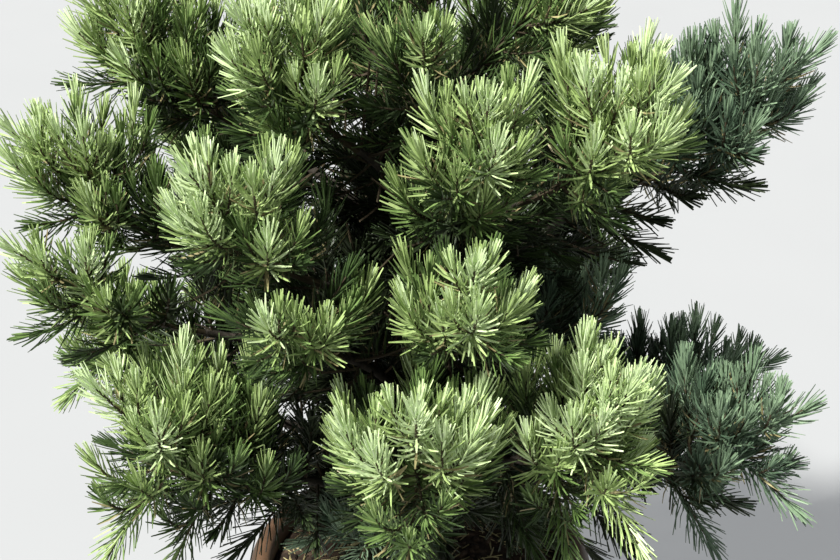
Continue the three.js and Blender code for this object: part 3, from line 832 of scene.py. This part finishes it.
def soil_mesh(rng):
    bm = bmesh.new()
    tube(bm, soil_place, SOIL_RINGS, SOIL_SEGMENTS)
    # The rim is drawn down the wall to the floor, and the small eye under the trunk goes with it, out of sight.
    rim = [edge for edge in bm.edges if edge.is_boundary]
    for z in (POT_HEIGHT - ROLL_HEIGHT - POT_WALL, POT_FLOOR + GAP):
        made = bmesh.ops.extrude_edge_only(bm, edges=rim)["geom"]
        verts = [part for part in made if isinstance(part, bmesh.types.BMVert)]
        rim = [part for part in made if isinstance(part, bmesh.types.BMEdge)]
        radius = pot_body_radius(z) - POT_WALL - GAP
        for vertex in verts:
            out = Vector((vertex.co.x, vertex.co.y, 0)).normalized()
            vertex.co = out * radius * MM + Vector((0, 0, z * MM))
    closed(bm)
    for _ in range(CRUMBS):
        add_crumb(bm, rng)
    for face in bm.faces:
        face.smooth = True
    return mesh_from(bm, "soil")


# Finishes

# Height of the lime on the pot, and how far down the top of its rim is paler.
LIME_HEIGHT = 90.0
RIM_PALE_DEPTH = 2.5
NOISE_ROUGHNESS = 0.55


class Socket:
    """An output of a material's node. Sums and products of outputs and numbers add the nodes for them."""

    def __init__(self, finish, output):
        self.finish = finish
        self.output = output

    def worked(self, operation, *values):
        return self.finish.node("ShaderNodeMath", {"operation": operation}, dict(enumerate(values)))

    def __add__(self, other):
        return self.worked("ADD", self, other)

    def __sub__(self, other):
        return self.worked("SUBTRACT", self, other)

    def __rsub__(self, other):
        return self.worked("SUBTRACT", other, self)

    def __mul__(self, other):
        return self.worked("MULTIPLY", self, other)

    __radd__ = __add__
    __rmul__ = __mul__


class Finish:
    """A material. What is the same all over is set on the shader itself, and the rest is linked to it."""

    def __init__(self, name, **same):
        self.material = bpy.data.materials.new(name)
        self.material.use_nodes = True
        self.tree = self.material.node_tree
        self.shader = self.tree.nodes["Principled BSDF"]
        for socket, value in same.items():
            self.shader.inputs[socket.replace("_", " ")].default_value = value
        self.place = self.node("ShaderNodeTexCoord", output="Object")

    def node(self, kind, settings=None, values=None, output=0):
        """Adds a node: its settings come first, then the values or links of its sockets."""
        made = self.tree.nodes.new(kind)
        for name, value in (settings or {}).items():
            if name == "stops":
                for element, (position, colour) in zip(stops_of(made.color_ramp, len(value)), value):
                    element.position = position
                    element.color = (*colour, 1)
            else:
                setattr(made, name, value)
        for name, value in (values or {}).items():
            self.feed(made.inputs[name], value)
        return Socket(self, made.outputs[output])

    def feed(self, target, value):
        if isinstance(value, Socket):
            self.tree.links.new(value.output, target)
        else:
            target.default_value = value

    def set(self, **linked):
        """Links what varies over the surface to the shader."""
        for socket, value in linked.items():
            self.feed(self.shader.inputs[socket.replace("_", " ")], value)

    def noise(self, scale, detail=3, stretch=(1, 1, 1)):
        """Noise over the piece: scale is how fine it is to a metre, and a small stretch draws it out."""
        place = self.place
        if stretch != (1, 1, 1):
            place = self.node("ShaderNodeVectorMath", {"operation": "MULTIPLY"}, {0: place, 1: stretch})
        values = {"Vector": place, "Scale": scale, "Detail": detail, "Roughness": NOISE_ROUGHNESS}
        return self.node("ShaderNodeTexNoise", values=values)

    def ramp(self, value, *stops):
        return self.node("ShaderNodeValToRGB", {"stops": stops}, {"Fac": value})

    def remap(self, value, low, high, first=0.0, last=1.0):
        """A number from first to last, as the value goes from low to high."""
        return self.node("ShaderNodeMapRange", values={0: value, 1: low, 2: high, 3: first, 4: last})

    def between(self, share, first, last):
        """A colour from first to last."""
        values = {0: share, 6: colour_of(first), 7: colour_of(last)}
        return self.node("ShaderNodeMix", {"data_type": "RGBA"}, values, output=2)

    def bump(self, height, distance, strength=1.0):
        values = {"Height": height, "Distance": distance, "Strength": strength}
        return self.node("ShaderNodeBump", values=values)


def stops_of(ramp, count):
    while len(ramp.elements) < count:
        ramp.elements.new(0.5)
    return ramp.elements


def colour_of(value):
    return value if isinstance(value, Socket) else (*value, 1)


def needle_finish(name, pale, dull):
    """Waxy needles: two near greens that drift over a few centimetres, and a faint bloom."""
    finish = Finish(name, Specular_IOR_Level=0.36, Sheen_Weight=0.02)
    drift = finish.noise(34, detail=2)
    fleck = finish.noise(420, detail=1)
    share = finish.remap(drift * 0.7 + fleck * 0.3, 0.36, 0.64)
    finish.set(Base_Color=finish.between(share, dull, pale), Roughness=0.42 + fleck * 0.22)
    return finish


def bark_finish():
    finish = Finish("bark", Specular_IOR_Level=0.25)
    plates = finish.noise(150, detail=6, stretch=(1, 1, 0.28))
    fine = finish.noise(900)
    patches = finish.noise(18)
    ground = finish.ramp(
        plates,
        (0.32, (0.008, 0.006, 0.004)),
        (0.5, (0.024, 0.018, 0.013)),
        (0.72, (0.06, 0.048, 0.037)),
    )
    grey = finish.between(patches * 0.6, ground, (0.08, 0.074, 0.06))
    finish.set(Base_Color=grey, Roughness=0.95 - plates * 0.2, Normal=finish.bump(plates + fine * 0.3, 0.0012))
    return finish


def twig_finish():
    finish = Finish("twig_bark", Specular_IOR_Level=0.3)
    grain = finish.noise(500, detail=4)
    drift = finish.noise(26, detail=2)
    brown = finish.between(grain, (0.02, 0.013, 0.008), (0.075, 0.05, 0.03))
    finish.set(Base_Color=finish.between(drift * 0.5, brown, (0.04, 0.045, 0.02)), Roughness=0.9 - grain * 0.2)
    return finish


def clay_finish():
    """Dark fired clay: faint turning lines, a paler bloom of lime low down and paler flecks along the top of the
    rim.
    """
    finish = Finish("fired_clay", Specular_IOR_Level=0.4)
    turning = finish.noise(26, detail=4, stretch=(0.15, 0.15, 9))
    mottle = finish.noise(22, detail=5)
    grit = finish.noise(700, detail=2)
    height = finish.node("ShaderNodeSeparateXYZ", values={0: finish.place}, output=2)
    body = finish.between(mottle * 0.6 + turning * 0.4, (0.022, 0.012, 0.006), (0.078, 0.045, 0.022))
    low = finish.remap(height + mottle * 0.06, LIME_HEIGHT * MM, 0.0)
    limed = finish.between(low * 0.35, body, (0.16, 0.13, 0.1))
    # Paler flecks along the topmost few millimetres of the rim.
    rim = finish.remap(height, (POT_HEIGHT - RIM_PALE_DEPTH) * MM, POT_HEIGHT * MM)
    rim_paler = finish.between(rim * grit * 0.5, limed, (0.24, 0.13, 0.075))
    rough = finish.remap(mottle, 0.0, 1.0, 0.42, 0.72)
    finish.set(Base_Color=rim_paler, Roughness=rough, Normal=finish.bump(turning * 0.6 + grit * 0.2, 0.0009, 0.6))
    return finish


def soil_finish():
    finish = Finish("compost", Specular_IOR_Level=0.2)
    clods = finish.noise(120, detail=6)
    grit = finish.noise(900, detail=2)
    earth = finish.ramp(
        clods,
        (0.35, (0.010, 0.007, 0.005)),
        (0.55, (0.045, 0.03, 0.02)),
        (0.75, (0.13, 0.09, 0.06)),
    )
    finish.set(Base_Color=earth, Roughness=0.97 - grit * 0.1, Normal=finish.bump(clods + grit * 0.4, 0.0016))
    return finish


def floor_finish():
    """A pale floor, with a faint light of its own that keeps the shadow on it soft."""
    finish = Finish("floor", Roughness=0.85, Specular_IOR_Level=0.2, Emission_Strength=0.3)
    pale = finish.between(finish.noise(3, detail=2), (0.20, 0.205, 0.21), (0.22, 0.225, 0.23))
    finish.set(Base_Color=pale)
    finish.shader.inputs["Emission Color"].default_value = (0.94, 0.97, 1.0, 1)
    return finish


# Dressing: the needles by tone, and the twigs

# Pale and dull green of each tone. The tones are lit and shaded copies of one green: painted sunlight on the
# sunny tips and the paler needles below them, which are also young growth, painted shade down through the darker
# greens to the old needles inside, which are also older and duller, and two bluish-green painted shade tones for
# masses that lie in shadow. Only the dry ones keep a colour of their own.
TONES = {
    "sunny": ((0.59, 0.71, 0.43), (0.40, 0.52, 0.225)),
    "fresh_and_lit": ((0.36, 0.465, 0.19), (0.225, 0.32, 0.10)),
    "green": ((0.15, 0.23, 0.07), (0.082, 0.145, 0.036)),
    "dusky": ((0.046, 0.082, 0.022), (0.021, 0.043, 0.010)),
    "shaded_pale": ((0.21, 0.30, 0.186), (0.12, 0.185, 0.11)),
    "shaded": ((0.09, 0.142, 0.086), (0.042, 0.077, 0.045)),
    "old": ((0.026, 0.042, 0.014), (0.011, 0.018, 0.005)),
    "straw": ((0.30, 0.27, 0.13), (0.16, 0.13, 0.06)),
}
# The least painted light for each tone, in the sun and in painted shade, and from which shade of a mass the
# latter hold.
BANDS = (("sunny", 2.55), ("fresh_and_lit", 1.15), ("green", -0.2), ("dusky", -2.4), ("old", -99.0))
# Masses that lie in shadow take these bluish-green painted shade tones instead of the sunlit ones.
SHADE_BANDS = (("shaded_pale", -0.6), ("shaded", -3.2), ("old", -99.0))
SHADE_FROM = 0.5
# Painted light on a shoot: millimetres further out or higher that add one to it, as painted sunlight, and what
# its order and shade take away, as painted shade.
LIGHT = 1.2
LIGHT_OUT = 60.0
LIGHT_RISE = 45.0
LIGHT_ORDER = 1.0
LIGHT_SHADE = 2.4
LIGHT_JITTER = 0.45
# Painted light on a needle: what it gains from the shoot's foot to its tip, for young growth and painted
# sunlight, from where on it gains, and painted sunlight for facing up.
NEEDLE_LIGHT_RUN = 1.4
NEEDLE_LIGHT_MIDDLE = 0.55
NEEDLE_LIGHT_UP = 0.7
NEEDLE_LIGHT_JITTER = 0.35
# Dry needles: up to where on a shoot they stay, and their share there.
STRAW_UP_TO = 0.35
STRAW_SHARE = 0.14
# Most needles in one piece, so it stays under 200,000 triangles.
PIECE_NEEDLES = 12000
NEEDLE_SEED = 11
# Dropped needles: their number, the field that they lie in, and how they lie.
LITTER = 420
LITTER_FIELD = 0.95
LITTER_INNER = 0.03
LITTER_LIE = 0.9
LITTER_TILT = 0.06
LITTER_CURVE = 0.12
LITTER_SIZES = (0.55, 0.9)


def light_on(mass, shoot, own, rng):
    """How light a shoot is painted: most where it is young, high and far out in its mass, as painted sunlight
    there and painted shade deeper in.
    """
    tip = shoot.path.at(1.0)
    out = np.linalg.norm(tip[:2]) - np.linalg.norm(HEARTS[own][:2])
    rise = tip[2] - HEARTS[own][2]
    light = LIGHT + out / LIGHT_OUT + rise / LIGHT_RISE
    return light - LIGHT_ORDER * (shoot.order - 1) - LIGHT_SHADE * mass.shade + rng.normal(0, LIGHT_JITTER)


def dealt(own, mass, shoots, rng):
    """The needles of a mass by tone: those on the upper side of a shoot are lighter with painted sunlight, and
    those near its tip with painted sunlight and young growth; the rest take painted shade, and a few dry ones
    stay at its foot."""
    hands = {name: [] for name in TONES}
    for shoot in shoots:
        spray = spray_of(shoot, rng)
        tips = spray.root + (spray.heading + spray.curve) * spray.length[:, None]
        free = in_cell(tips, own, NEEDLE_GIVE) & off_limbs(tips, LIMB_MARGIN) & within_reach(tips)
        grown = np.linspace(0, 1, len(free))
        level = light_on(mass, shoot, own, rng) + NEEDLE_LIGHT_RUN * (grown - NEEDLE_LIGHT_MIDDLE)
        level += NEEDLE_LIGHT_UP * spray.ridge[:, 2] + rng.normal(0, NEEDLE_LIGHT_JITTER, len(grown))
        dry = free & (grown < STRAW_UP_TO) & (rng.uniform(0, 1, len(grown)) < STRAW_SHARE)
        hands["straw"].append(spray.pick(dry))
        free &= ~dry
        for name, low in SHADE_BANDS if mass.shade > SHADE_FROM else BANDS:
            hands[name].append(spray.pick(free & (level >= low)))
            free &= level < low
    return hands


def litter(rng):
    """Old needles that have dropped on the soil."""
    radius = SOIL_RADIUS * LITTER_FIELD * np.sqrt(rng.uniform(LITTER_INNER, 1, LITTER))
    around = rng.uniform(0, 2 * pi, LITTER)
    x, y = radius * np.cos(around), radius * np.sin(around)
    height = [soil_height(*place) + LITTER_LIE for place in zip(x, y)]
    turn = rng.uniform(0, 2 * pi, LITTER)
    heading = np.stack((np.cos(turn), np.sin(turn), rng.normal(0, LITTER_TILT, LITTER)), axis=1)
    across = np.cross(heading, UP)
    root = np.stack((x, y, height), axis=1) - heading * NEEDLE / 3
    curve = across * rng.normal(0, LITTER_CURVE, (LITTER, 1))
    ridge = np.broadcast_to(UP, (LITTER, 3))
    return Spray(root, unit(heading), curve, ridge, rng.uniform(*LITTER_SIZES, LITTER) * NEEDLE)


def dress():
    """The twigs and needles of every mass, and the old shoots inside."""
    rng = np.random.default_rng(NEEDLE_SEED)
    hands = {name: [] for name in TONES}
    lines = []
    for own, mass in enumerate(MASSES):
        shoots = branched(mass, own)
        if mass.height:
            old, green = bough_shoots(own, mass)
            shoots += green
            # Old shoots inside the crown take the darkest tone: duller for their age, and painted shade for lying
            # deep inside.
            hands["old"] += [spray_of(shoot, rng) for shoot in old]
            lines += [(shoot.path, FINE_SHOOT_RADIUS, SHOOT_TIP_RADIUS, TWIG_RINGS) for shoot in old]
        for name, sprays in dealt(own, mass, shoots, rng).items():
            hands[name] += sprays
        lines.append((GROWN[own][0], STEM_RADIUS, STEM_TIP_RADIUS, STEM_RINGS))
        for shoot in shoots:
            radius = SHOOT_RADIUS if shoot.order == 1 else FINE_SHOOT_RADIUS
            lines.append((shoot.path, radius, SHOOT_TIP_RADIUS, TWIG_RINGS))
    nodes = [f"foliage_{mass.name}" for mass in MASSES]
    finished("twigs", twig_mesh("twigs", lines), twig_finish(), "bark", *nodes)
    hands["straw"].append(litter(rng))
    for name, sprays in hands.items():
        spray = joined(sprays)
        finish = needle_finish(f"needles_{name}", *TONES[name])
        rings = OLD_RINGS if name == "old" else NEEDLE_RINGS
        parts = ceil(len(spray.length) / PIECE_NEEDLES)
        for part in range(parts):
            piece = f"needles_{name}_{part + 1}"
            mesh = needle_mesh(piece, spray.pick(slice(part, None, parts)), rings)
            finished(piece, mesh, finish, "needles", *nodes)


# Studio, in metres

CAMERA_AT = Vector((0, -1.19198, 1.16679))
CAMERA_AIM = Vector((0, 0, 0.533))
CAMERA_LENS = 72.3
CAMERA_NEAR = 0.01
FLOOR_RADIUS = 24
FLOOR_SEGMENTS = 720
WALL_HEIGHT = 7
WORLD_COLOUR = (0.86, 0.9, 0.95)
WORLD_STRENGTH = 0.08


def aimed(at):
    """The turn that looks from a place to the middle of the crown."""
    return (CAMERA_AIM - Vector(at)).to_track_quat("-Z", "Y").to_euler()


def lamp(name, kind, at, strength, colour, **settings):
    data = bpy.data.lights.new(name, kind)
    data.energy = strength
    data.color = colour
    for setting, value in settings.items():
        setattr(data, setting, value)
    holder = bpy.data.objects.new(name, data)
    holder.location = at
    holder.rotation_euler = aimed(at)
    bpy.context.scene.collection.objects.link(holder)


def lay_floor():
    """A round pale floor whose rim stands up as a wall."""
    bm = bmesh.new()
    bmesh.ops.create_circle(bm, cap_ends=True, segments=FLOOR_SEGMENTS, radius=FLOOR_RADIUS)
    rim = bmesh.ops.extrude_edge_only(bm, edges=bm.edges[:])["geom"]
    raised = [part for part in rim if isinstance(part, bmesh.types.BMVert)]
    bmesh.ops.translate(bm, verts=raised, vec=(0, 0, WALL_HEIGHT))
    floor = bpy.data.objects.new("floor", mesh_from(bm, "floor"))
    floor.data.materials.append(floor_finish().material)
    bpy.context.scene.collection.objects.link(floor)


def hang_lamps():
    """A high sun from the left with a soft edge, a weak bluish fill from the right and a soft light in front."""
    lamp("key", "SUN", at=(-1.3, -1.0, 2.7), strength=9.6, colour=(1.0, 0.98, 0.93), angle=radians(6))
    disk = {"kind": "AREA", "shape": "DISK"}
    lamp("fill", at=(1.9, -1.6, 1.3), strength=5, colour=(0.93, 0.97, 1.0), size=1.6, **disk)
    lamp("front", at=(-0.7, -2.4, 1.5), strength=9, colour=(1.0, 1.0, 0.96), size=1.8, **disk)
    world = bpy.data.worlds.new("studio")
    world.use_nodes = True
    background = world.node_tree.nodes["Background"].inputs
    background["Color"].default_value = (*WORLD_COLOUR, 1)
    background["Strength"].default_value = WORLD_STRENGTH
    bpy.context.scene.world = world


def place_camera():
    camera = bpy.data.objects.new("camera", bpy.data.cameras.new("camera"))
    camera.data.lens = CAMERA_LENS
    camera.data.clip_start = CAMERA_NEAR
    camera.location = CAMERA_AT
    camera.rotation_euler = aimed(CAMERA_AT)
    bpy.context.scene.collection.objects.link(camera)
    bpy.context.scene.camera = camera
    bpy.context.scene.view_settings.view_transform = "Standard"


# Assembly

limb_nodes = ("trunk", *(f"bough_{bough.name}" for bough in BOUGHS))
finished("limbs", limb_mesh(), bark_finish(), "bark", *limb_nodes)
finished("pot_body", drilled(pot_mesh()), clay_finish(), "clay", "pot")
finished("soil_top", soil_mesh(np.random.default_rng(CRUMB_SEED)), soil_finish(), "soil", "soil")
dress()
lay_floor()
hang_lamps()
place_camera()
